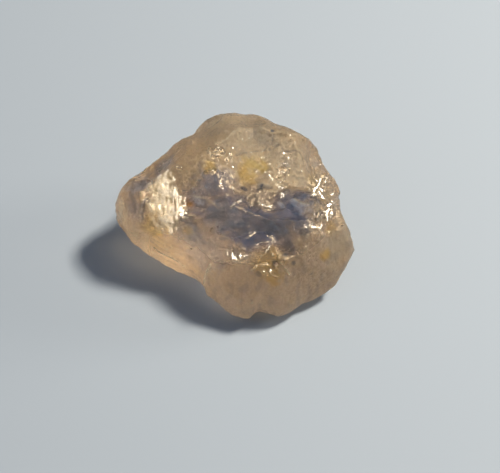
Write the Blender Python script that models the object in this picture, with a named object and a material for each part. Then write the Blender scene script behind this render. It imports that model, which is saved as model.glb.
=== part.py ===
"""Rough topaz: one clear, water-worn and chipped piece of topaz, about 32 mm long.

The stone is a single closed solid. A sphere is drawn out to the stone's own outline and swelled
unevenly. Broad hollow scars are taken out of it, then shallow flakes side by side, then small
chips. The skin is thinned to what its shape needs, and last the underside is split off flat,
along the cleavage that the stone rests on.

Metres, +Z up. The origin is at the middle of the bounding box's bottom, on the resting face.
Sizes below are in millimetres unless they say otherwise.
"""

import math
import random

import bmesh
import bpy
from mathutils import Matrix, Vector, noise
from mathutils.bvhtree import BVHTree

MM = 0.001

# The girdle is the stone's widest line, as (x, y, height) of points on it, anticlockwise from +X.
GIRDLE = (
    (14.3, 0.2, 6.8),
    (14.3, 2.3, 7.4),
    (14.3, 4.6, 8.0),
    (12.4, 7.5, 9.0),
    (10.3, 10.4, 9.6),
    (7.0, 12.3, 10.0),
    (3.3, 13.8, 10.4),
    (-0.8, 14.1, 10.5),
    (-3.9, 13.4, 10.5),
    (-5.6, 10.9, 10.3),
    (-7.4, 9.3, 10.2),
    (-9.3, 8.3, 10.0),
    (-11.6, 5.8, 9.8),
    (-14.0, 3.8, 9.4),
    (-16.4, 0.9, 8.6),
    (-15.5, -1.1, 7.8),
    (-14.1, -2.9, 7.2),
    (-11.2, -4.4, 6.4),
    (-7.4, -6.0, 5.2),
    (-5.1, -7.1, 4.5),
    (-4.2, -8.3, 4.1),
    (-4.0, -9.1, 3.8),
    (-2.9, -10.0, 3.2),
    (-1.1, -11.5, 2.8),
    (1.2, -12.4, 2.6),
    (2.0, -12.8, 2.6),
    (2.7, -12.4, 2.6),
    (3.3, -11.8, 2.6),
    (4.1, -11.8, 2.5),
    (5.7, -12.1, 2.5),
    (8.8, -10.3, 2.6),
    (11.5, -9.4, 2.9),
    (13.7, -8.1, 3.4),
    (14.8, -6.3, 4.2),
    (16.1, -3.3, 5.2),
    (15.4, -1.9, 5.8),
    (14.8, -0.6, 6.2),
)
CROWN_HEIGHT = 17.0
CROWN_SHIFT = (0.5, 1.5)
UNDERSIDE_DEPTH = 1.6  # how far the drawn-out sphere reaches below the resting face
CROWN_FULLNESS = 0.80  # below 1 the crown is fuller than an ellipsoid
UNDERSIDE_FULLNESS = 0.80
SPHERE_SUBDIVISIONS = 6
BALL_FACE_SIZE = 0.85  # about as large as the facets of what is taken out of the stone
ROUNDED_FACETS = 5000
FACETS = 9800

# How far, in radians, the creases that run up and down from the girdle's corners stray sideways.
CREASE_STRAY = 0.2
CREASE_STRAY_SIZE = 0.4

# Uneven swelling of the stone's skin, as (size of the lumps, their height).
SWELLS = ((7.0, 0.55), (2.6, 0.22))

HEART = (0.0, 0.5, 7.5)  # the point that bearings below are taken from

# Broad scars, where large pieces came off: name, bearing and elevation that the scar faces in
# degrees, its floor's distance from the heart, and its hollow's radius of curvature.
SCARS = (
    ("window", 292, 65, 7.9, 42),
    ("left_window", 215, 68, 8.7, 22),
    ("front_skirt", 266, 24, 10.0, 60),
    ("left_shoulder", 150, 44, 11.6, 30),
    ("left_front", 238, 26, 9.5, 50),
    ("back_slope", 84, 54, 11.9, 60),
    ("right_flank", 6, 40, 12.1, 36),
    ("right_front", 316, 28, 12.7, 60),
    ("back_right", 48, 8, 14.0, 40),
    ("back_left", 128, -6, 11.0, 30),
    ("underside_left", 196, -42, 11.8, 30),
    ("underside_back", 85, -48, 10.6, 40),
    ("underside_front", 236, -38, 11.9, 30),
    ("underside_right", 352, -40, 13.0, 40),
)
SCAR_UNEVENNESS = ((6.0, 1.00), (2.2, 0.30))

# Flakes struck off all round, side by side, so that their hollows meet in low ridges.
FLAKE_COUNT = 90
FLAKE_STRAY = 9.0  # degrees off an even spread
FLAKE_RADII = (5.0, 14.0)
FLAKE_DEPTHS = (0.2, 0.5)
FLAKE_LOWEST = 1.0  # no flake comes off below this height
SMOOTH_SKIRT = (204, 348, -30, 22)  # bearings and elevations between which no flake came off
FLAKE_UNEVENNESS = ((3.2, 0.80), (1.3, 0.22))
FLAKE_SEED = 11
GOLDEN_ANGLE = 137.508  # degrees between one flake's bearing and the next, for an even spread

# Chips with a place of their own: name, bearing and elevation from the heart in degrees, width,
# depth, and how much longer than wide it is.
CHIPS = (
    ("crater", 297, 20, 4.8, 1.0, 1.1),
    ("front_notch", 284, -24, 3.0, 0.8, 0.7),
    ("step", 347, 17, 2.8, 0.8, 1.6),
    ("right_rim_low", 353, 26, 2.6, 0.6, 1.8),
    ("right_rim_high", 10, 32, 3.0, 0.6, 1.7),
    ("left_pit", 206, 46, 2.4, 0.7, 1.7),
    ("upper_pit", 318, 62, 2.0, 0.7, 1.8),
    ("right_pit", 334, 46, 2.2, 0.7, 1.5),
)
CHIP_UNEVENNESS = ((1.7, 0.50), (0.8, 0.15))


def named_collection(name):
    collection = bpy.data.collections.new(name)
    bpy.context.scene.collection.children.link(collection)
    return collection


def new_object(name, mesh, collection):
    obj = bpy.data.objects.new(name, mesh)
    collection.objects.link(obj)
    return obj


def direction(bearing, elevation):
    """Unit vector at a compass-like bearing (0 is +X, 90 is +Y) and an elevation, both in degrees."""
    turn, lift = math.radians(bearing), math.radians(elevation)
    return Vector((math.cos(turn) * math.cos(lift), math.sin(turn) * math.cos(lift), math.sin(lift)))


def unevenness(place, layers):
    """Height of an uneven skin at a place, from layers of (size of the lumps, their height)."""
    return sum(height * noise.noise(place / size) for size, height in layers)


def girdle_curve():
    """The girdle as sorted (angle, radius, height) about the axis through the origin."""
    stations = [(math.atan2(y, x) % math.tau, math.hypot(x, y), z) for x, y, z in GIRDLE]
    return sorted(stations)


def girdle_at(stations, angle):
    """Radius and height of the girdle at an angle, on a smooth closed curve through the stations."""
    count = len(stations)
    after = next((i for i, s in enumerate(stations) if s[0] > angle), 0)
    near = [stations[(after + step) % count] for step in (-2, -1, 0, 1)]
    gap = (near[2][0] - near[1][0]) % math.tau
    t = ((angle - near[1][0]) % math.tau) / gap
    weights = (
        0.5 * (-t + 2 * t**2 - t**3),
        0.5 * (2 - 5 * t**2 + 3 * t**3),
        0.5 * (t + 4 * t**2 - 3 * t**3),
        0.5 * (-(t**2) + t**3),
    )
    return tuple(sum(w * s[k] for w, s in zip(weights, near)) for k in (1, 2))


def drawn_out(unit, stations):
    """Where a point of the unit sphere goes on the rounded stone."""
    flat = math.hypot(unit.x, unit.y)
    angle = math.atan2(unit.y, unit.x) % math.tau
    stray = CREASE_STRAY * unit.z * noise.noise(unit / CREASE_STRAY_SIZE)
    radius, girdle_height = girdle_at(stations, (angle + stray) % math.tau)
    lift = abs(unit.z)
    if unit.z >= 0:
        reach, fullness = CROWN_HEIGHT - girdle_height, CROWN_FULLNESS
        shift = Vector((*CROWN_SHIFT, 0)) * lift**2
    else:
        reach, fullness = -UNDERSIDE_DEPTH - girdle_height, UNDERSIDE_FULLNESS
        shift = Vector()
    out = radius * flat**fullness
    x, y = out * math.cos(angle), out * math.sin(angle)
    return Vector((x, y, girdle_height + reach * lift)) + shift


def rounded_stone():
    """The mesh of the whole stone, before anything comes off it."""
    bm = bmesh.new()
    bmesh.ops.create_icosphere(bm, subdivisions=SPHERE_SUBDIVISIONS, radius=1.0)
    stations = girdle_curve()
    for vert in bm.verts:
        unit = vert.co.normalized()
        place = drawn_out(unit, stations)
        vert.co = (place + unit * unevenness(place, SWELLS)) * MM
    mesh = bpy.data.meshes.new("topaz")
    bm.to_mesh(mesh)
    bm.free()
    return mesh


def ball_cutter(name, centre, radius, layers, collection):
    """An uneven ball, in millimetres, to be taken out of the stone."""
    subdivisions = min(6, 1 + round(math.log2(radius / BALL_FACE_SIZE)))
    mesh = bpy.data.meshes.new(name)
    bm = bmesh.new()
    bmesh.ops.create_icosphere(bm, subdivisions=subdivisions, radius=radius)
    for vert in bm.verts:
        vert.co += vert.co.normalized() * unevenness(centre + vert.co, layers)
    bmesh.ops.scale(bm, vec=(MM, MM, MM), verts=bm.verts)
    bm.to_mesh(mesh)
    bm.free()
    cutter = new_object(name, mesh, collection)
    cutter.location = centre * MM
    cutter.hide_render = True
    cutter.display_type = "WIRE"
    return cutter


def apply_modifier(stone, modifier):
    graph = bpy.context.evaluated_depsgraph_get()
    changed = bpy.data.meshes.new_from_object(stone.evaluated_get(graph))
    stone.modifiers.remove(modifier)
    stone.data = changed


def chip(stone, cutter):
    """Takes the cutter out of the stone."""
    cut = stone.modifiers.new("Chip", "BOOLEAN")
    cut.operation = "DIFFERENCE"
    cut.object = cutter
    apply_modifier(stone, cut)


def thin_out(stone, facets):
    """Merges the least of the stone's triangles into their neighbours, until so many are left."""
    stone.data.calc_loop_triangles()
    thinning = stone.modifiers.new("Thin out", "DECIMATE")
    thinning.ratio = facets / len(stone.data.loop_triangles)
    thinning.use_collapse_triangulate = True
    apply_modifier(stone, thinning)


def split_flat(stone):
    """Splits the underside off along the cleavage at height zero, and closes it with a flat face."""
    bm = bmesh.new()
    bm.from_mesh(stone.data)
    geometry = bm.verts[:] + bm.edges[:] + bm.faces[:]
    cut = bmesh.ops.bisect_plane(
        bm, geom=geometry, plane_co=(0, 0, 0), plane_no=(0, 0, -1), clear_outer=True
    )
    rim = [edge for edge in cut["geom_cut"] if isinstance(edge, bmesh.types.BMEdge)]
    bmesh.ops.contextual_create(bm, geom=rim)
    bmesh.ops.triangulate(bm, faces=bm.faces[:])
    bm.to_mesh(stone.data)
    bm.free()


def centre_over_origin(stone):
    """Moves the stone sideways until its bounding box is centred on the origin."""
    spans = [[vert.co[axis] for vert in stone.data.vertices] for axis in (0, 1)]
    middle = [(min(span) + max(span)) / 2 for span in spans]
    stone.data.transform(Matrix.Translation((-middle[0], -middle[1], 0)))


def topaz_material():
    material = bpy.data.materials.new("topaz")
    material.use_nodes = True
    shader = material.node_tree.nodes["Principled BSDF"]
    shader.inputs["Base Color"].default_value = (0.80, 0.66, 0.50, 1.0)
    shader.inputs["Roughness"].default_value = 0.25
    shader.inputs["Metallic"].default_value = 0.0
    shader.inputs["IOR"].default_value = 1.62
    shader.inputs["Transmission Weight"].default_value = 0.8
    return material


def scar_cutter(name, bearing, elevation, distance, radius, collection):
    centre = Vector(HEART) + direction(bearing, elevation) * (distance + radius)
    return ball_cutter(name, centre, radius, SCAR_UNEVENNESS, collection)


def skin_under(stone, bearing, elevation):
    """The place and normal, in millimetres, where the stone's skin is seen from the heart."""
    outward = direction(bearing, elevation)
    surface = BVHTree.FromObject(stone, bpy.context.evaluated_depsgraph_get())
    place, normal, _, _ = surface.ray_cast((Vector(HEART) + outward * 100) * MM, -outward)
    return place / MM, normal


def on_skirt(bearing, elevation):
    first, last, lowest, highest = SMOOTH_SKIRT
    return first < bearing < last and lowest < elevation < highest


def strike_flakes(stone, collection):
    chance = random.Random(FLAKE_SEED)
    for number in range(FLAKE_COUNT):
        height = 1 - (2 * number + 1) / FLAKE_COUNT
        elevation = math.degrees(math.asin(height)) + chance.uniform(-FLAKE_STRAY, FLAKE_STRAY)
        bearing = number * GOLDEN_ANGLE + chance.uniform(-FLAKE_STRAY, FLAKE_STRAY)
        radius, depth = chance.uniform(*FLAKE_RADII), chance.uniform(*FLAKE_DEPTHS)
        place, normal = skin_under(stone, bearing, elevation)
        if place.z < FLAKE_LOWEST or on_skirt(bearing % 360, elevation):
            continue
        centre = place + normal * (radius - depth)
        chip(stone, ball_cutter(f"flake_{number}", centre, radius, FLAKE_UNEVENNESS, collection))


def strike_chip(stone, name, bearing, elevation, width, depth, length_share, collection):
    place, normal = skin_under(stone, bearing, elevation)
    radius = (width**2 / 4 + depth**2) / (2 * depth)
    cutter = ball_cutter(name, place + normal * (radius - depth), radius, CHIP_UNEVENNESS, collection)
    cutter.rotation_euler = normal.to_track_quat("Z", "Y").to_euler()
    cutter.scale.x = length_share
    bpy.context.view_layer.update()
    chip(stone, cutter)


def build_topaz(stones, cutters):
    stone = new_object("topaz", rounded_stone(), stones)
    thin_out(stone, ROUNDED_FACETS)
    for name, *sizes in SCARS:
        chip(stone, scar_cutter(name, *sizes, cutters))
    strike_flakes(stone, cutters)
    for name, *sizes in CHIPS:
        strike_chip(stone, name, *sizes, cutters)
    thin_out(stone, FACETS)
    split_flat(stone)
    centre_over_origin(stone)
    stone.data.materials.clear()
    stone.data.materials.append(topaz_material())
    stone.data.shade_flat()
    return stone


def main():
    for obj in list(bpy.data.objects):
        bpy.data.objects.remove(obj)
    build_topaz(named_collection("rough_topaz"), named_collection("cutters"))


main()
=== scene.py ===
"""Looks of the rough topaz: its etched and broken skin, champagne glassiness, stains and cracks.

Lengths are in millimetres, in the CAD model's frame, unless a comment says otherwise. A place on
the stone is written as (bearing, elevation): the direction, in degrees, in which it is seen from the
stone's heart. Bearing 0 is +X and 90 is +Y. Directions are written in the same way.
"""

import math

import bmesh
import bpy
import numpy as np
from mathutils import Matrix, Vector, noise
from mathutils.bvhtree import BVHTree


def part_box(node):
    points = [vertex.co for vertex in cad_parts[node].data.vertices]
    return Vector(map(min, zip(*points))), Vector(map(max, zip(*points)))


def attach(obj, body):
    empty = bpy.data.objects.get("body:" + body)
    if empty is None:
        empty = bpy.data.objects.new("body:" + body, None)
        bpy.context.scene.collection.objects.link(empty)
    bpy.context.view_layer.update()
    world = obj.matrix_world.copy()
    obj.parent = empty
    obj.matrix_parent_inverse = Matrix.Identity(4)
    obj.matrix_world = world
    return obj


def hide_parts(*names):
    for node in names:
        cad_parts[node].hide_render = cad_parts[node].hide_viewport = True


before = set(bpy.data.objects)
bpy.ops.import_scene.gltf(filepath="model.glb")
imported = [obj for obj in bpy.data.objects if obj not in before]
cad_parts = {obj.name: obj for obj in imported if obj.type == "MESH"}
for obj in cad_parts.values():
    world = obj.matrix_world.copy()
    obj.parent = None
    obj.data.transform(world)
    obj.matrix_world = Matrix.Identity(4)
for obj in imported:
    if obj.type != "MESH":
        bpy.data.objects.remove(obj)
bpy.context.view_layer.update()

MM = 0.001
HEART = Vector((0.04, -0.43, 7.5))
FAR = 100  # from the heart, well outside the stone

# Light and camera
KEY = (22, 58)
KEY_DISTANCE, KEY_SIZE, KEY_POWER = 450, 70, 3.2
KEY_COLOR = (1.0, 0.88, 0.70)
SIDE = (12, 20)
SIDE_DISTANCE, SIDE_SIZE, SIDE_POWER = 450, 120, 0.8
FILL = (200, 40)
FILL_DISTANCE, FILL_SIZE, FILL_POWER = 600, 500, 0.3
FILL_COLOR = (0.88, 0.94, 1.0)
SKY_COLOR = (0.78, 0.87, 1.0)
SKY_LOW, SKY_HIGH = 0.04, 0.25
CLEAR_BOUNCES, GLOSSY_BOUNCES = 24, 16  # enough for light to find its way through the stone

FLOOR_COLOR = (0.31, 0.37, 0.46)
FLOOR_ROUGHNESS = 0.8
FLOOR_GAP = 0.08  # between the floor and the resting face, so that the two faces don't coincide
FLOOR_HALF = 1500

FRAME_WIDTH = 500  # picture elements
ELEMENT = 0.135  # millimetres to a picture element, at the stone
SENSOR_WIDTH = 36
LENS = 90
NEAREST = 10  # that the camera sees
CAMERA = (270, 58)
CAMERA_TARGET = Vector((0.04, -0.93, 8.0))
CAMERA_SHIFT = (15.0, -19.5)  # picture elements that the middle lies right of and above the target

# Fine mesh of the skin
VOXEL = 0.172
ROUNDING_STEPS = 10
ROUNDING = 0.5

# Clear places, worn or broken smooth: bearing, elevation, radius, clearness.
CLEAR = (
    (181, 71, 2.6, 0.65),
    (150, 78, 1.6, 0.6),
    (200, 53, 2.2, 0.65),
    (187, 18, 1.3, 0.5),
    (241, 60, 2.4, 0.9),
    (263, 56, 2.6, 1.0),
    (284, 48, 3.0, 1.0),
    (303, 40, 2.6, 1.0),
    (334, 35, 2.8, 0.9),
    (343, 37, 2.4, 0.7),
    (339, 55, 2.4, 0.3),
    (314, 34, 2.4, 0.8),
    (359, 31, 1.2, 0.9),
    (292, 74, 1.2, 0.5),
    (176, 25, 1.8, 0.6),
    (188, 20, 1.6, 0.5),
    (158, 33, 1.6, 0.5),
    (225, 24, 2.2, 0.5),
    (236, 8, 2.2, 0.35),
    (250, 24, 2.2, 0.4),
)
# Dull places, finely etched: bearing, elevation, radius.
DULL = (
    (38, 82, 1.4),
    (328, 74, 1.5),
    (340, 62, 1.5),
    (350, 50, 1.3),
)
# Fresh breakage in small glassy facets, some of which catch the light: bearing, elevation, radius.
BROKEN = (
    (341, 27, 0.9),
    (351, 21, 1.1),
    (13, 16, 1.2),
    (336, 22, 0.8),
    (331, 28, 0.9),
    (359, 38, 0.6),
    (30, 36, 0.9),
    (22, 38, 0.8),
    (123, 61, 1.0),
    (113, 60, 1.0),
    (102, 62, 0.7),
    (266, 26, 0.8),
    (272, 26, 0.8),
    (278, 25, 0.7),
    (175, 57, 0.4),
    (200, 40, 0.9),
    (207, 36, 0.9),
    (164, 47, 0.5),
    (230, 12, 0.4),
    (250, -10, 0.5),
    (280, -8, 0.4),
    (298, 15, 0.8),
    (294, 11, 0.6),
)
# Satin steps, which glow where they face the light, with a cream glow also painted into their colour:
# bearing, elevation, radius, strength.
SATIN = (
    (172, 38, 1.3, 0.8),
    (187, 8, 0.8, 0.35),
    (178, 35, 1.8, 1.0),
    (184, 33, 2.0, 1.0),
    (190, 29, 2.0, 1.0),
    (195, 33, 1.8, 0.9),
    (203, 25, 1.8, 0.8),
    (183, 13, 1.2, 0.4),
    (294, 14, 1.9, 0.15),
    (2, 22, 1.4, 0.2),
)

# Low ridges (height above 0) and cracks or grooves (below 0): height, width, shade, places on the line.
# A line with a shade above 0 has painted shade along it, dark by so much; one with a shade below 0 flashes in
# the light.
LINES = (
    # The ledge across the hollow, and the folds below it
    (-0.12, 0.13, 0.5, (88, 57), (68, 45), (57, 39), (43, 36), (27, 27)),
    (0.14, 0.16, -0.04, (262, 65), (275, 71), (295, 73)),
    (0.14, 0.16, -0.04, (332, 59), (337, 50), (342, 40)),
    (0.14, 0.16, -0.20, (4, 39), (357, 38)),
    (0.14, 0.16, 0.0, (353, 35), (348, 31)),
    (0.14, 0.16, -0.10, (38, 49), (23, 46), (11, 37)),
    (0.12, 0.14, -0.06, (191, 50), (202, 58), (221, 61), (235, 61)),
    (-0.12, 0.14, 0.3, (280, 58), (300, 55)),
    (0.10, 0.15, -0.30, (327, 29), (328, 29)),
    # The rim beside the glow
    (0.22, 0.20, -0.30, (180, 39), (189, 36), (197, 35), (208, 35)),
    # Needles on the right rim
    (0.25, 0.20, -0.25, (357, 29), (2, 26), (8, 22), (15, 17), (19, 15)),
    (0.18, 0.20, -0.25, (16, 12), (20, 11)),
    (0.18, 0.20, -0.25, (21, 12), (18, 9)),
    (0.30, 0.24, -0.35, (0, 14), (351, 23), (345, 25), (342, 22)),
    (0.15, 0.18, -0.30, (347, 22), (344, 21)),
    (0.15, 0.20, -0.20, (7, 11), (13, 5)),
    (0.15, 0.20, -0.20, (9, 19), (9, 16)),
    (0.15, 0.22, -0.40, (332, 26), (334, 24)),
    (0.15, 0.20, -0.20, (333, 23), (337, 23)),
    # The crater's rim and rays
    (0.28, 0.22, -0.14, (287, 17), (289, 22), (295, 26)),
    (0.28, 0.22, -0.15, (295, 26), (297, 28), (300, 29)),
    (0.20, 0.20, -0.14, (289, 16), (293, 16), (295, 15)),
    (0.18, 0.20, -0.12, (290, 12), (292, 10)),
    (0.15, 0.20, -0.25, (300, 15), (299, 13)),
    (0.15, 0.20, -0.15, (286, 16), (283, 12)),
    (0.15, 0.20, -0.12, (300, 25), (300, 22)),
    (0.15, 0.16, -0.04, (295, 11), (296, 9), (298, 9)),
    (0.15, 0.20, -0.03, (303, 17), (304, 13), (305, 8)),
    # The star of splinters beside the crater
    (0.20, 0.20, -0.30, (264, 27), (264, 23)),
    (0.25, 0.26, -0.60, (268, 28), (269, 26), (271, 23)),
    (0.25, 0.24, -0.60, (270, 21), (271, 25), (273, 22)),
    (0.20, 0.20, -0.30, (275, 29), (275, 25)),
    (0.20, 0.20, -0.15, (276, 24), (278, 20)),
    (0.20, 0.24, -0.50, (278, 27), (280, 27)),
    # The edge between the two front faces
    (0.16, 0.25, 0.0, (246, -16), (247, -3), (250, 10)),
    (0.10, 0.20, -0.30, (246, -16), (247, -10)),
    # Streaks down the nose
    (-0.12, 0.16, 0.6, (170, 16), (177, 19), (187, 14)),
    (-0.16, 0.32, 0.7, (168, 18), (178, 22), (186, 21), (190, 18)),
    (-0.16, 0.28, 0.7, (170, 27), (179, 27), (186, 26)),
    (-0.14, 0.20, 0.6, (164, 31), (172, 30), (178, 30)),
    (-0.30, 0.24, 0.8, (188, 28), (192, 23), (196, 17)),
    # Streaks along the lower left
    (-0.12, 0.18, 0.25, (195, 8), (203, 3), (214, 0)),
    (-0.12, 0.18, 0.25, (196, 13), (206, 10), (222, 7)),
    (-0.12, 0.18, 0.25, (199, 7), (214, 5), (231, 1)),
    (0.10, 0.20, -0.45, (181, 11), (184, 7), (189, 5), (195, 3)),
    (0.10, 0.20, -0.30, (205, -1), (212, -3), (218, -7), (225, -11)),
    (0.10, 0.16, -0.25, (222, 10), (227, 9)),
    (-0.12, 0.18, 0.25, (207, -8), (222, -14), (239, -20)),
    # Deep cracks
    (-0.40, 0.22, 0.7, (16, 60), (15, 52), (12, 46)),
    (-0.30, 0.22, 0.7, (201, 41), (207, 38), (215, 39), (217, 42)),
    (-0.35, 0.25, 0.7, (343, 28), (340, 27), (337, 27)),
)
# Painted shade in pits and cracks, which let no light back: bearing, elevation, radius, darkness.
PIT_SHADE = (
    (190, 25, 0.6, 0.7),
    (161, 31, 1.1, 0.6),
    (167, 24, 1.0, 0.6),
    (178, 24, 0.9, 0.6),
    (207, 38, 0.6, 0.8),
    (215, 38, 0.7, 0.8),
    (222, 37, 0.5, 0.6),
    (218, 26, 0.6, 0.6),
    (15, 56, 0.60, 1.0),
    (14, 48, 0.60, 0.9),
    (12, 77, 0.35, 0.9),
    (2, 29, 0.9, 0.6),
    (354, 29, 0.6, 0.6),
    (341, 27, 0.7, 0.9),
    (336, 27, 0.4, 0.7),
    (59, 39, 0.25, 1.0),
    (287, 10, 0.5, 0.6),
    (308, 19, 0.3, 0.9),
    (310, 14, 0.3, 0.7),
    (190, 26, 0.4, 0.8),
    (193, 21, 0.4, 0.9),
    (196, 17, 0.4, 0.6),
    (172, 24, 0.9, 0.65),
    (300, 16, 0.3, 0.7),
    (318, 3, 0.4, 0.9),
    (325, 27, 0.6, 0.7),
    (313, 22, 0.8, 0.5),
)
# Painted shade over the deep, dim middle of the window and over greyer places: bearing, elevation, radius,
# shade.
PAINTED_SHADE = (
    (245, 58, 1.8, 0.50),
    (263, 54, 2.0, 0.56),
    (284, 46, 2.2, 0.62),
    (300, 41, 2.2, 0.62),
    (312, 36, 2.0, 0.55),
    (325, 36, 1.8, 0.40),
    (230, 40, 1.6, 0.30),
    (161, 31, 2.0, 0.50),
    (172, 26, 1.6, 0.45),
    (186, 22, 1.6, 0.25),
    (228, 16, 2.8, 0.30),
    (344, 63, 2.0, 0.42),
    (292, 74, 1.4, 0.30),
    (20, 76, 1.4, 0.25),
    (357, 42, 1.2, 0.25),
    (100, 50, 2.6, 0.20),
    (75, 42, 2.6, 0.20),
)
# Paler places: bearing, elevation, radius, paleness. On the nose's lower edge this is a painted glow of light
# coming through; elsewhere it only makes the skin paler.
PALE = (
    (338, 5, 2.6, 0.45),
    (328, -2, 2.2, 0.30),
    (186, 9, 1.0, 0.65),
    (183, 14, 0.7, 0.45),
    (192, 5, 1.0, 0.40),
    (289, 21, 0.8, 0.60),
    (295, 24, 0.6, 0.45),
    (292, 13, 0.8, 0.50),
    (299, 12, 0.6, 0.50),
)
# Stains: bearing, elevation, radius, strength of yellow, strength of orange.
STAINS = (
    (145, 65, 0.9, 0.9, 0.0),
    (60, 50, 1.5, 1.0, 0.0),
    (53, 62, 1.3, 1.0, 0.1),
    (328, 8, 0.8, 0.9, 0.0),
    (341, 18, 0.9, 0.5, 0.1),
    (297, 18, 1.9, 0.70, 0.15),
    (295, 13, 1.8, 0.70, 0.15),
    (197, 42, 0.60, 0.0, 1.0),
    (201, 16, 1.4, 0.8, 0.0),
    (218, 26, 0.7, 0.9, 0.0),
    (197, 22, 1.0, 0.5, 0.0),
    (206, 5, 1.8, 0.3, 0.0),
    (10, 18, 2.4, 0.35, 0.0),
)

# Zones of the skin: the dull skirt along the front's foot, the streaked band at its left end, and the
# matte back. Each has a first and last bearing, and the elevations between which it ends or starts.
SKIRT_BEARINGS, SKIRT_TOP = (210, 345), (6, 20)
BAND_BEARINGS, BAND_TOP = (185, 240), (10, 24)
BACK_BEARINGS, BACK_FOOT = (5, 175), (16, 34)
BACK_FADE = 20  # degrees of bearing
SPOT_RIM, SPOT_EDGE = 0.95, 0.35  # in radii: where a spot fades, and how far to either side
CLEAR_EDGE = 0.7  # wider than other spots' edges, as clear places fade slowly
CLEAR_GAIN = 1.25  # times the clearness in the table, up to 1
RESTING_RANGE = (0.02, 0.3)  # heights over which the resting face gives way to the rest of the skin
RESTING_CLEARNESS = 0.3  # of the resting face, which is flat and smooth

# Unevenness of the skin and of its zones' edges. The shifts keep the noises from matching.
COARSE_SIZE, FINE_SIZE, FINE_SHIFT = 2.0, 0.7, 5.0
COARSE_WOBBLE, FINE_WOBBLE = 0.45, 0.35
ROUGH_WOBBLE = 0.6  # of the broken and the satin places' edges, as a share of the wobble
COARSE_HEIGHT, FINE_HEIGHT = 0.14, 0.10
LINE_WOBBLE = 0.15
FACING_RANGE = (0.45, 0.75)  # how far inside a flashing line its polished top starts, and is full

# Small facets
FACET_SIZE = 0.6
FACET_SEED = 1  # of the facets' leans
LEAN_SPREAD, LUCK_SPREAD = 7.3, 53.0  # so large that neighbours have nothing in common
FACET_TILT, BROKEN_TILT = 0.14, 0.45  # slopes
FACET_CHANCE, BROKEN_CHANCE = 0.03, 0.5  # of facing the light
FACET_REACH = (0.5, 0.95)  # between these slopes, fewer and fewer facets turn to the light
LEAST_COSINE = 0.5  # keeps the slope towards the light finite

# Satin steps, and the streaks on them
STEP_AXIS = (322, 70)  # the way that the treads face
STEP_HEIGHT = 0.20
STEP_SHARE = 0.3  # of a full stair's depth
STEP_WANDER, STEP_WANDER_SIZE, STEP_SHIFT = 0.5, 1.7, 9.0
STREAK = np.array((1.0, 0.3, 0.5))  # how the streaks are drawn out along Y and Z
STREAK_SIZE, STREAK_HEIGHT = 0.42, 0.12
BAND_STREAKS = 0.5

# The share of a quality that each zone takes away
COARSE_LOSS = {"clear": 0.7, "skirt": 0.4}
FINE_LOSS = {"matte": 0.6}
TILT_LOSS = {"skirt": 0.6, "clear": 0.8, "matte": 0.5}
CHANCE_LOSS = {"skirt": 1, "matte": 1, "clear": 1}
GRAIN_LOSS = {"clear": 0.85, "skirt": 0.50, "satin": 0.65}
FROST_LOSS = {"skirt": 0.6, "clear": 1}
DULLNESS_LOSS = {"broken": 0.7}

# Finish
MATTE_ROUGHNESS, FROSTED_ROUGHNESS, GLASSY_ROUGHNESS = 0.58, 0.26, 0.16
SKIRT_DULLNESS = 0.6
RIDGE_GLASS = 0.7
FROST_COAT, BROKEN_COAT, GLINT_COAT, RIDGE_COAT, SATIN_COAT = 0.06, 0.6, 0.7, 0.3, 0.6
SATIN_COAT_RANGE = (0.05, 0.3)
PANE_LEAN = 0.4  # how far the panes of the clear places lean away from the treads

# Painted highlights and painted shade, and other paler and darker places
EDGE_STEPS = 2  # of smoothing
EDGE_RANGE = (0.02, 0.14)  # how far a place stands out or in, as a share of the mesh's spacing
# Painted highlights on raised edges and on the ridges' tops, and painted shade in hollows
EDGE_HIGHLIGHT, HOLLOW_SHADE, RIDGE_HIGHLIGHT = 0.8, 0.5, 0.7
PALE_WOBBLE, PALE_EDGE = 1.5, 0.6
PIT_SHADE_WOBBLE = 2.5
PAINTED_SHADE_EDGE = 0.8
STAIN_WOBBLE, STAIN_EDGE = 1.5, 0.6
BACK_YELLOW = 0.18
MOTTLE = np.array((1.0, 1.0, 0.35))  # how the front's mottles are drawn out upwards
MOTTLE_SIZE, MOTTLE_SHIFT = 0.8, 13.0
MOTTLE_RANGE = (0.0, 0.5)
MOTTLE_DARKNESS, BAND_MOTTLES = 0.25, 0.6

# Glass
IOR = 1.62
TRANSMISSION = 0.92
SPECULAR_LEVEL, SPECULAR_TINT = 0.05, (1.0, 0.85, 0.62)
COAT_ROUGHNESS, COAT_IOR = 0.10, 1.6
ABSORPTION_COLOR, ABSORPTION_DENSITY = (0.86, 0.70, 0.46), 24.0

# Colours
FROSTED_COLORS = (1.0, 0.83, 0.60), (0.97, 0.79, 0.67)
SPECK_COLOR = (0.62, 0.44, 0.27)
FIBRE_COLOR = (0.70, 0.52, 0.38)
# Painted see-through shade: the clear places get the dim blue of a dark ground seen through them, painted
# into their colour
SEEN_THROUGH_COLORS = (0.14, 0.26, 0.62), (0.40, 0.46, 0.78)
# Paleness carries painted highlights on edges and ridges, the painted glow on the nose's edge, chalky grain
# and paler spots
PALE_COLOR = (1.0, 0.96, 0.80)
OVERLAYS = {  # in the order in which they lie over each other
    # painted glow: the satin places are painted cream
    "satin": (1.0, 0.86, 0.50),
    "yellow": (0.95, 0.66, 0.16),
    "orange": (1.0, 0.42, 0.03),
    # painted shade in grooves, hollows, pits, the window's middle and greyer places, with random mottles
    "dark": (0.04, 0.07, 0.15),
}

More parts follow.
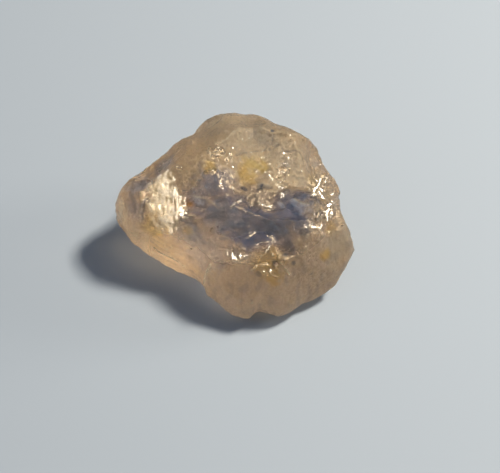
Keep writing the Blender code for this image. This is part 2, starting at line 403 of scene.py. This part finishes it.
# Patterns: size, detail and roughness of the noise, and how it is drawn out, where it is. Then the
# values of the noise between which the pattern comes in, and its share, where that is under 1.
DRAWN = (1.0, 0.25, 0.35)  # along Y and Z
TINTS = (1.6, 4.0, 0.6), (0.35, 0.65)
SPECKS = (0.30, 4.0, 0.6), (0.44, 0.68, 0.75)
FIBRES = (0.30, 3.0, 0.6, DRAWN), (0.40, 0.65, 0.5)
WISPS = (0.9, 4.0, 0.6), (0.38, 0.62)
CHALK = (0.30, 3.0, 0.7), (0.56, 0.66, 0.75)
SUGAR = (0.35, 2.0, 0.5), (0.56, 0.66, 0.5)
SILK_NOISE, SILK_SPAN = (0.30, 3.0, 0.6, DRAWN), (0.38, 0.46)
SILK_LOSS = 0.15  # of the silk's noise, where the satin ends
SATIN_SPAN = (0.05, 0.2)
LUMP_NOISE, LUMP_DEPTH, LUMP_STRENGTH = (0.7, 3.0, 0.6), 0.20, 0.8
CRUMB_SIZE, CRUMB_TILT = 0.30, 0.6
SUGAR_SIZE, SUGAR_TILT = 0.25, 0.9


def direction(bearing, elevation):
    turn, lift = math.radians(bearing), math.radians(elevation)
    return Vector((math.cos(turn) * math.cos(lift), math.sin(turn) * math.cos(lift), math.sin(lift)))


# ---------------------------------------------------------------- measures


def smoothstep(low, high, x):
    t = np.clip((x - low) / (high - low), 0, 1)
    return t * t * (3 - 2 * t)


def between(angles, first, last, edge=12):
    """1 where an angle in degrees is between two others, fading to 0 outside them."""
    return smoothstep(first - edge, first + edge, angles) * (1 - smoothstep(last - edge, last + edge, angles))


def noise_at(places, size, shift=0.0):
    return np.array([noise.noise(p) for p in (places / size + shift).tolist()])


def vectors_of(count, source, name):
    values = np.zeros(count * 3)
    source.foreach_get(name, values)
    return values.reshape(-1, 3)


def place_on(surface, bearing, elevation):
    """The place on the CAD skin that lies in a direction from the heart."""
    outward = direction(bearing, elevation)
    place = surface.ray_cast((HEART + outward * FAR) * MM, -outward)[0]
    return np.array(place / MM)


def spot(places, surface, bearing, elevation, radius, wobble, edge=SPOT_EDGE):
    """1 inside a round spot on the skin, fading to 0 outside it."""
    reach = np.linalg.norm(places - place_on(surface, bearing, elevation), axis=1) / radius
    return 1 - smoothstep(SPOT_RIM - edge, SPOT_RIM + edge, reach + wobble)


def zone(places, surface, spots, wobble, edge=SPOT_EDGE):
    """How far each place is inside the spots; a spot's fourth number is its strength."""
    inside = np.zeros(len(places))
    for bearing, elevation, radius, *strength in spots:
        here = spot(places, surface, bearing, elevation, radius, wobble, edge)
        inside = np.maximum(inside, here * (strength[0] if strength else 1))
    return inside


def zones_at(places, surface, wobble, free):
    """How much each place belongs to each zone, from 0 to 1."""
    outward = places - np.array(HEART)
    bearings = np.degrees(np.arctan2(outward[:, 1], outward[:, 0])) % 360
    elevations = np.degrees(np.arcsin(outward[:, 2] / np.linalg.norm(outward, axis=1)))
    clear = np.minimum(1, CLEAR_GAIN * zone(places, surface, CLEAR, wobble, CLEAR_EDGE))
    clear = np.maximum(clear, RESTING_CLEARNESS * (1 - free))
    back = between(bearings, *BACK_BEARINGS, BACK_FADE) * smoothstep(*BACK_FOOT, elevations)
    return {
        "clear": clear,
        "broken": zone(places, surface, BROKEN, ROUGH_WOBBLE * wobble),
        "satin": zone(places, surface, SATIN, ROUGH_WOBBLE * wobble),
        "matte": np.maximum(back, zone(places, surface, DULL, wobble)) * (1 - clear),
        "skirt": between(bearings, *SKIRT_BEARINGS) * (1 - smoothstep(*SKIRT_TOP, elevations)),
        "band": between(bearings, *BAND_BEARINGS) * (1 - smoothstep(*BAND_TOP, elevations)),
    }


def left_of(quality, zones, loss):
    """What is left of a quality where each zone takes its share away."""
    for name, share in loss.items():
        quality = quality * (1 - share * zones[name])
    return quality


# ---------------------------------------------------------------- shape


def fine_skin(node):
    """A fine, evenly meshed and slightly rounded copy of the CAD stone."""
    skin = bpy.data.objects.new("topaz_skin", node.data.copy())
    bpy.context.scene.collection.objects.link(skin)
    remesh = skin.modifiers.new("Remesh", "REMESH")
    remesh.mode = "VOXEL"
    remesh.voxel_size = VOXEL * MM
    rounding = skin.modifiers.new("Rounding", "SMOOTH")
    rounding.factor = ROUNDING
    rounding.iterations = ROUNDING_STEPS
    graph = bpy.context.evaluated_depsgraph_get()
    mesh = bpy.data.meshes.new_from_object(skin.evaluated_get(graph))
    skin.modifiers.clear()
    skin.data = mesh
    return skin


def lit_normal():
    """The way that a surface faces where it mirrors the key light towards the camera's place at rest."""
    return np.array((direction(*KEY) + direction(*CAMERA)).normalized())


def facets_at(places, normals, tilt, chance):
    """Heights of a skin of small tilted facets, and which of them turn to the light.

    The chance, from 0 to 1, that a facet turns to the light falls where it would have to turn far.
    """
    lit = lit_normal()
    towards = normals - lit / np.maximum(normals @ lit, LEAST_COSINE)[:, None]
    chance = chance * (1 - smoothstep(*FACET_REACH, np.linalg.norm(towards, axis=1)))
    noise.seed_set(FACET_SEED)
    leans, offsets = np.empty((len(places), 3)), np.empty((len(places), 3))
    luck = np.empty(len(places))
    for i, p in enumerate((places / FACET_SIZE).tolist()):
        middle = noise.voronoi(p)[1][0]
        leans[i] = noise.noise_vector(middle * LEAN_SPREAD)
        offsets[i] = Vector(p) - middle
        luck[i] = 0.5 + 0.5 * noise.cell(middle * LUCK_SPREAD)
    turned = luck < chance
    leans *= tilt[:, None]
    leans[turned] = towards[turned]
    return np.einsum("ij,ij->i", leans, offsets) * FACET_SIZE, turned.astype(float)


def line_on(surface, stops, pieces=6):
    """Points on the skin along a line through the stops."""
    line = []
    for (b0, e0), (b1, e1) in zip(stops, stops[1:]):
        turn = (b1 - b0 + 180) % 360 - 180
        for k in range(pieces):
            t = k / pieces
            line.append(place_on(surface, b0 + t * turn, e0 + t * (e1 - e0)))
    line.append(place_on(surface, *stops[-1]))
    return line


def distance_to(places, line):
    distance = np.full(len(places), np.inf)
    for a, b in zip(line, line[1:]):
        along = b - a
        t = np.clip((places - a) @ along / max(along @ along, 1e-9), 0, 1)
        distance = np.minimum(distance, np.linalg.norm(places - a - t[:, None] * along, axis=1))
    return distance


def lines_at(places, surface, wobble):
    """The lines' relief, painted shade, shine and flashes, and the tops that are polished like the treads."""
    lines = {name: np.zeros(len(places)) for name in ("relief", "dark", "shine", "facing", "flash")}
    for height, width, shade, *stops in LINES:
        distance = distance_to(places, line_on(surface, stops)) + LINE_WOBBLE * wobble
        inside = np.exp(-((distance / width) ** 2))
        lines["relief"] += height * inside
        # painted shade along the grooves and cracks
        lines["dark"] = np.maximum(lines["dark"], shade * inside)
        lines["flash"] = np.maximum(lines["flash"], -shade * inside)
        if shade < 0:
            lines["facing"] = np.maximum(lines["facing"], smoothstep(*FACING_RANGE, inside))
        if height > 0:
            lines["shine"] = np.maximum(lines["shine"], inside)
    return lines


def treads_at(places, satin):
    """How far the satin steps' treads stand out, along the way that they face."""
    across = np.array(direction(*STEP_AXIS))
    layer = places @ across / STEP_HEIGHT + STEP_WANDER * noise_at(places, STEP_WANDER_SIZE, STEP_SHIFT)
    tread = STEP_HEIGHT * (0.5 - layer % 1.0) * STEP_SHARE * satin
    return tread[:, None] * across


def streaks_at(places, zones):
    streaks = STREAK_HEIGHT * noise_at(places * STREAK, STREAK_SIZE)
    return streaks * np.maximum(zones["satin"], BAND_STREAKS * zones["band"])


def within_box(places):
    low, high = (np.array(corner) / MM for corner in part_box("topaz"))
    return np.clip(places, low, high)


def carve(skin, surface):
    """Works the skin's relief into it, and marks its finish, its tints and its painted highlights and shade
    for the material.
    """
    mesh = skin.data
    count = len(mesh.vertices)
    places = vectors_of(count, mesh.vertices, "co") / MM
    normals = vectors_of(count, mesh.vertex_normals, "vector")
    coarse, fine = noise_at(places, COARSE_SIZE), noise_at(places, FINE_SIZE, FINE_SHIFT)
    wobble = COARSE_WOBBLE * coarse + FINE_WOBBLE * fine
    free = smoothstep(*RESTING_RANGE, places[:, 2])
    zones = zones_at(places, surface, wobble, free)

    tilt = left_of(FACET_TILT, zones, TILT_LOSS) + BROKEN_TILT * zones["broken"]
    chance = np.maximum(BROKEN_CHANCE * zones["broken"], left_of(FACET_CHANCE, zones, CHANCE_LOSS))
    facets, glints = facets_at(places, normals, tilt, chance)
    lines = lines_at(places, surface, fine)
    relief = COARSE_HEIGHT * coarse + left_of(FINE_HEIGHT, zones, FINE_LOSS) * fine
    relief = left_of(relief, zones, COARSE_LOSS)
    relief += facets * (1 - zones["satin"]) + streaks_at(places, zones) + lines["relief"]
    places += normals * (relief * free)[:, None] + treads_at(places, zones["satin"])
    places = within_box(places)
    mesh.vertices.foreach_set("co", (places * MM).ravel())
    mesh.update()

    marks = {"clear": zones["clear"], "satin": zones["satin"], "facing": lines["facing"]}
    marks.update(finish_of(zones, lines, glints))
    marks.update(tints_at(mesh, places, surface, zones, lines, wobble))
    for name, values in marks.items():
        mesh.attributes.new(name, "FLOAT", "POINT").data.foreach_set("value", values.astype(np.float32))


# ---------------------------------------------------------------- finish, tints, painted highlights and shade


def finish_of(zones, lines, glints):
    """Roughness, grain and weight of the coat, which carries the sparkle."""
    dullness = np.maximum(SKIRT_DULLNESS * zones["skirt"], left_of(zones["matte"], zones, DULLNESS_LOSS))
    glassy = np.max([zones["clear"], glints, RIDGE_GLASS * lines["shine"]], axis=0)
    roughness = FROSTED_ROUGHNESS + (MATTE_ROUGHNESS - FROSTED_ROUGHNESS) * dullness
    roughness += (GLASSY_ROUGHNESS - roughness) * glassy
    coats = (
        left_of(FROST_COAT, zones, FROST_LOSS),
        BROKEN_COAT * zones["broken"],
        GLINT_COAT * glints,
        RIDGE_COAT * lines["shine"] * (1 - lines["facing"]),
        lines["flash"],
        SATIN_COAT * smoothstep(*SATIN_COAT_RANGE, zones["satin"]),
    )
    return {"roughness": roughness, "grain": left_of(1.0, zones, GRAIN_LOSS), "coat": np.max(coats, axis=0)}


def standing_out(mesh, places):
    """How far each place stands out over its neighbours, as a share of the mesh's spacing."""
    count = len(places)
    normals = vectors_of(count, mesh.vertex_normals, "vector")
    ends = np.zeros(len(mesh.edges) * 2, dtype=np.int32)
    mesh.edges.foreach_get("vertices", ends)
    first, second = ends.reshape(-1, 2).T
    neighbours = np.bincount(ends, minlength=count)

    def around(values):
        total = np.bincount(first, values[second], count) + np.bincount(second, values[first], count)
        return total / neighbours

    middles = np.stack([around(column) for column in places.T], axis=1)
    standing = np.einsum("ij,ij->i", places - middles, normals) / VOXEL
    for _ in range(EDGE_STEPS):
        standing = 0.5 * (standing + around(standing))
    return standing


def mottles_at(places, zones):
    mottles = smoothstep(*MOTTLE_RANGE, noise_at(places * MOTTLE, MOTTLE_SIZE, MOTTLE_SHIFT))
    return mottles * (MOTTLE_DARKNESS * np.maximum(zones["skirt"], BAND_MOTTLES * zones["band"]))


def stains_at(places, surface, matte, wobble):
    yellow, orange = BACK_YELLOW * matte, np.zeros(len(places))
    for bearing, elevation, radius, yellowness, orangeness in STAINS:
        stain = spot(places, surface, bearing, elevation, radius, STAIN_WOBBLE * wobble, STAIN_EDGE)
        yellow = np.maximum(yellow, yellowness * stain)
        orange = np.maximum(orange, orangeness * stain)
    return yellow, orange


def tints_at(mesh, places, surface, zones, lines, wobble):
    """Where the skin is paler, darker or stained: painted highlights on its edges and ridges, painted shade
    in its hollows, grooves, pits and dim places, and its mottles, pale spots and stains.
    """
    standing = standing_out(mesh, places)
    # Paleness: painted highlights on raised edges and ridges' tops, and the pale places
    pale = (
        EDGE_HIGHLIGHT * smoothstep(*EDGE_RANGE, standing),
        zone(places, surface, PALE, PALE_WOBBLE * wobble, PALE_EDGE),
        RIDGE_HIGHLIGHT * lines["shine"],
    )
    # Darkness: painted shade along grooves, in hollows, over the window's middle and greyer places, in pits
    # and cracks, and random mottles
    dark = (
        lines["dark"],
        HOLLOW_SHADE * smoothstep(*EDGE_RANGE, -standing),
        mottles_at(places, zones),
        zone(places, surface, PAINTED_SHADE, wobble, PAINTED_SHADE_EDGE),
        zone(places, surface, PIT_SHADE, PIT_SHADE_WOBBLE * wobble),
    )
    yellow, orange = stains_at(places, surface, zones["matte"], wobble)
    return {"pale": np.max(pale, axis=0), "dark": np.max(dark, axis=0), "yellow": yellow, "orange": orange}


# ---------------------------------------------------------------- material


class Tree:
    """Short ways to add nodes to a material."""

    def __init__(self, name):
        self.material = bpy.data.materials.new(name)
        self.material.use_nodes = True
        self.nodes = self.material.node_tree.nodes
        self.links = self.material.node_tree.links
        self.shader = self.nodes["Principled BSDF"].inputs

    def feed(self, socket, value):
        if isinstance(value, bpy.types.NodeSocket):
            self.links.new(value, socket)
        elif isinstance(value, tuple):
            socket.default_value = (*value, 1.0)
        else:
            socket.default_value = value

    def attribute(self, name):
        node = self.nodes.new("ShaderNodeAttribute")
        node.attribute_name = name
        return node.outputs["Fac"]

    def mix(self, factor, a, b):
        """A mix of two colours, whose sockets go by number, as other sockets share their names."""
        node = self.nodes.new("ShaderNodeMix")
        node.data_type = "RGBA"
        for index, value in ((0, factor), (6, a), (7, b)):
            self.feed(node.inputs[index], value)
        return node.outputs[2]

    def ramp(self, value, low, high, top=1.0, foot=0.0):
        """The foot where the value is low or less, the top where it is high or more."""
        node = self.nodes.new("ShaderNodeMapRange")
        names = ("Value", "From Min", "From Max", "To Min", "To Max")
        for name, number in zip(names, (value, low, high, foot, top)):
            self.feed(node.inputs[name], number)
        return node.outputs["Result"]

    def calculate(self, operation, a, b):
        node = self.nodes.new("ShaderNodeMath")
        node.operation = operation
        self.feed(node.inputs[0], a)
        self.feed(node.inputs[1], b)
        return node.outputs["Value"]

    def vector(self, operation, a, b=None):
        node = self.nodes.new("ShaderNodeVectorMath")
        node.operation = operation
        self.links.new(a, node.inputs[0])
        if operation == "SCALE":
            self.feed(node.inputs["Scale"], b)
        elif isinstance(b, bpy.types.NodeSocket):
            self.links.new(b, node.inputs[1])
        elif b is not None:
            node.inputs[1].default_value = b
        return node.outputs["Vector"]

    def noise(self, size, detail, roughness, drawn=(1.0, 1.0, 1.0)):
        """A noise pattern, drawn out along the axes that have a number under 1."""
        node = self.nodes.new("ShaderNodeTexNoise")
        coordinates = self.nodes.new("ShaderNodeTexCoord")
        places = self.vector("MULTIPLY", coordinates.outputs["Object"], drawn)
        self.links.new(places, node.inputs["Vector"])
        node.inputs["Scale"].default_value = 1 / (size * MM)
        node.inputs["Detail"].default_value = detail
        node.inputs["Roughness"].default_value = roughness
        return node.outputs["Fac"]

    def pattern(self, made_of, span):
        return self.ramp(self.noise(*made_of), *span)

    def crumbs(self, size, tilt):
        """Normals of a skin of tiny flat facets."""
        cells = self.nodes.new("ShaderNodeTexVoronoi")
        coordinates = self.nodes.new("ShaderNodeTexCoord")
        geometry = self.nodes.new("ShaderNodeNewGeometry")
        self.links.new(coordinates.outputs["Object"], cells.inputs["Vector"])
        cells.inputs["Scale"].default_value = 1 / (size * MM)
        centred = self.vector("SUBTRACT", cells.outputs["Color"], (0.5, 0.5, 0.5))
        tilted = self.vector("ADD", self.vector("SCALE", centred, tilt), geometry.outputs["Normal"])
        return self.vector("NORMALIZE", tilted)

    def facing(self, way):
        """The normal of a face that looks in a direction, in the stone's own frame."""
        node = self.nodes.new("ShaderNodeVectorTransform")
        node.vector_type = "NORMAL"
        node.convert_from, node.convert_to = "OBJECT", "WORLD"
        node.inputs["Vector"].default_value = way
        return node.outputs["Vector"]

    def bump(self, height, depth, strength, below):
        """The normals below, bumped."""
        node = self.nodes.new("ShaderNodeBump")
        self.feed(node.inputs["Height"], height)
        self.feed(node.inputs["Distance"], depth * MM)
        self.feed(node.inputs["Strength"], strength)
        self.feed(node.inputs["Normal"], below)
        return node.outputs["Normal"]


def topaz_color(tree):
    """Frosting, or a painted see-through shade in clear places, then chalky grain and painted highlights on
    edges, then a painted glow on the satin, stains, and dark places of painted shade and mottles.
    """
    frosted = tree.mix(tree.pattern(*TINTS), *FROSTED_COLORS)
    frosted = tree.mix(tree.pattern(*SPECKS), frosted, SPECK_COLOR)
    frosted = tree.mix(tree.pattern(*FIBRES), frosted, FIBRE_COLOR)
    seen_through = tree.mix(tree.pattern(*WISPS), *SEEN_THROUGH_COLORS)
    color = tree.mix(tree.attribute("clear"), frosted, seen_through)
    chalk = tree.calculate("MULTIPLY", tree.pattern(*CHALK), tree.attribute("grain"))
    # paler with chalky grain, pale spots and painted highlights
    color = tree.mix(tree.calculate("MAXIMUM", chalk, tree.attribute("pale")), color, PALE_COLOR)
    for name, tint in OVERLAYS.items():
        color = tree.mix(tree.attribute(name), color, tint)
    return color


def glass_normal(tree, tread):
    """Lumps and crumbs, and in the clear places panes that lean away from the treads."""
    crumbs = tree.crumbs(CRUMB_SIZE, tree.calculate("MULTIPLY", tree.attribute("grain"), CRUMB_TILT))
    lean = tree.calculate("MULTIPLY", tree.attribute("clear"), -PANE_LEAN)
    panes = tree.vector("ADD", crumbs, tree.vector("SCALE", tread, lean))
    return tree.bump(tree.noise(*LUMP_NOISE), LUMP_DEPTH, LUMP_STRENGTH, tree.vector("NORMALIZE", panes))


def coat_normal(tree, tread):
    """Loose sugary crumbs, and treads on the satin steps and on the polished tops of the lines."""
    satin = tree.attribute("satin")
    silk = tree.calculate("ADD", tree.noise(*SILK_NOISE), tree.ramp(satin, 0.0, 1.0, 0.0, -SILK_LOSS))
    stepped = tree.calculate("MULTIPLY", tree.ramp(silk, *SILK_SPAN), tree.ramp(satin, *SATIN_SPAN))
    stepped = tree.calculate("MAXIMUM", stepped, tree.attribute("facing"))
    loose = tree.crumbs(SUGAR_SIZE, tree.calculate("MULTIPLY", tree.attribute("grain"), SUGAR_TILT))
    return tree.vector("NORMALIZE", tree.mix(stepped, loose, tread))


def absorb(tree):
    absorption = tree.nodes.new("ShaderNodeVolumeAbsorption")
    tree.feed(absorption.inputs["Color"], ABSORPTION_COLOR)
    tree.feed(absorption.inputs["Density"], ABSORPTION_DENSITY)
    tree.links.new(absorption.outputs["Volume"], tree.nodes["Material Output"].inputs["Volume"])


def topaz_material():
    tree = Tree("topaz")
    tread = tree.facing(direction(*STEP_AXIS))
    sugar = tree.calculate("MULTIPLY", tree.attribute("grain"), tree.pattern(*SUGAR))
    tree.feed(tree.shader["Base Color"], topaz_color(tree))
    tree.feed(tree.shader["Roughness"], tree.attribute("roughness"))
    tree.feed(tree.shader["Normal"], glass_normal(tree, tread))
    tree.feed(tree.shader["IOR"], IOR)
    tree.feed(tree.shader["Specular IOR Level"], SPECULAR_LEVEL)
    tree.feed(tree.shader["Specular Tint"], SPECULAR_TINT)
    tree.feed(tree.shader["Transmission Weight"], TRANSMISSION)
    tree.feed(tree.shader["Coat Weight"], tree.calculate("MAXIMUM", tree.attribute("coat"), sugar))
    tree.feed(tree.shader["Coat Roughness"], COAT_ROUGHNESS)
    tree.feed(tree.shader["Coat IOR"], COAT_IOR)
    tree.feed(tree.shader["Coat Normal"], coat_normal(tree, tread))
    absorb(tree)
    return tree.material


def floor_material():
    tree = Tree("floor")
    tree.feed(tree.shader["Base Color"], FLOOR_COLOR)
    tree.feed(tree.shader["Roughness"], FLOOR_ROUGHNESS)
    return tree.material


# ---------------------------------------------------------------- stage


def floor():
    mesh = bpy.data.meshes.new("floor")
    bm = bmesh.new()
    bmesh.ops.create_grid(bm, x_segments=1, y_segments=1, size=FLOOR_HALF * MM)
    bm.to_mesh(mesh)
    bm.free()
    mesh.materials.append(floor_material())
    piece = bpy.data.objects.new("floor", mesh)
    piece.location.z = -FLOOR_GAP * MM
    bpy.context.scene.collection.objects.link(piece)


def area_light(name, place, distance, size, power, color):
    light = bpy.data.lights.new(name, "AREA")
    light.size = size * MM
    light.energy = power
    light.color = color
    lamp = bpy.data.objects.new(name, light)
    bpy.context.scene.collection.objects.link(lamp)
    outward = direction(*place)
    lamp.location = (HEART + outward * distance) * MM
    lamp.rotation_euler = outward.to_track_quat("Z", "Y").to_euler()


def sky():
    """A soft, even sky, dimmer towards the horizon."""
    world = bpy.data.worlds.new("studio")
    world.use_nodes = True
    nodes, links = world.node_tree.nodes, world.node_tree.links
    background = nodes["Background"]
    background.inputs["Color"].default_value = (*SKY_COLOR, 1.0)
    coordinates = nodes.new("ShaderNodeTexCoord")
    split = nodes.new("ShaderNodeSeparateXYZ")
    strength = nodes.new("ShaderNodeMapRange")
    strength.inputs["To Min"].default_value = SKY_LOW
    strength.inputs["To Max"].default_value = SKY_HIGH
    links.new(coordinates.outputs["Generated"], split.inputs["Vector"])
    links.new(split.outputs["Z"], strength.inputs["Value"])
    links.new(strength.outputs["Result"], background.inputs["Strength"])
    bpy.context.scene.world = world


def lighting():
    area_light("key", KEY, KEY_DISTANCE, KEY_SIZE, KEY_POWER, KEY_COLOR)
    area_light("side", SIDE, SIDE_DISTANCE, SIDE_SIZE, SIDE_POWER, KEY_COLOR)
    area_light("fill", FILL, FILL_DISTANCE, FILL_SIZE, FILL_POWER, FILL_COLOR)
    sky()
    scene = bpy.context.scene
    scene.view_settings.view_transform = "Standard"
    scene.cycles.max_bounces = CLEAR_BOUNCES
    scene.cycles.glossy_bounces = GLOSSY_BOUNCES
    scene.cycles.transmission_bounces = CLEAR_BOUNCES


def camera():
    data = bpy.data.cameras.new("camera")
    data.lens = LENS
    data.clip_start = NEAREST * MM
    eye = bpy.data.objects.new("camera", data)
    bpy.context.scene.collection.objects.link(eye)
    back = direction(*CAMERA)
    turn = back.to_track_quat("Z", "Y")
    across, up = turn @ Vector((1, 0, 0)), turn @ Vector((0, 1, 0))
    right, above = (shift * ELEMENT for shift in CAMERA_SHIFT)
    distance = LENS / SENSOR_WIDTH * FRAME_WIDTH * ELEMENT
    eye.location = (CAMERA_TARGET + across * right + up * above + back * distance) * MM
    eye.rotation_euler = turn.to_euler()
    bpy.context.scene.camera = eye


def main():
    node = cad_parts["topaz"]
    surface = BVHTree.FromObject(node, bpy.context.evaluated_depsgraph_get())
    skin = fine_skin(node)
    carve(skin, surface)
    skin.data.materials.clear()
    skin.data.materials.append(topaz_material())
    skin.data.shade_smooth()
    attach(skin, "root")
    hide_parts("topaz")
    floor()
    lighting()
    camera()


main()
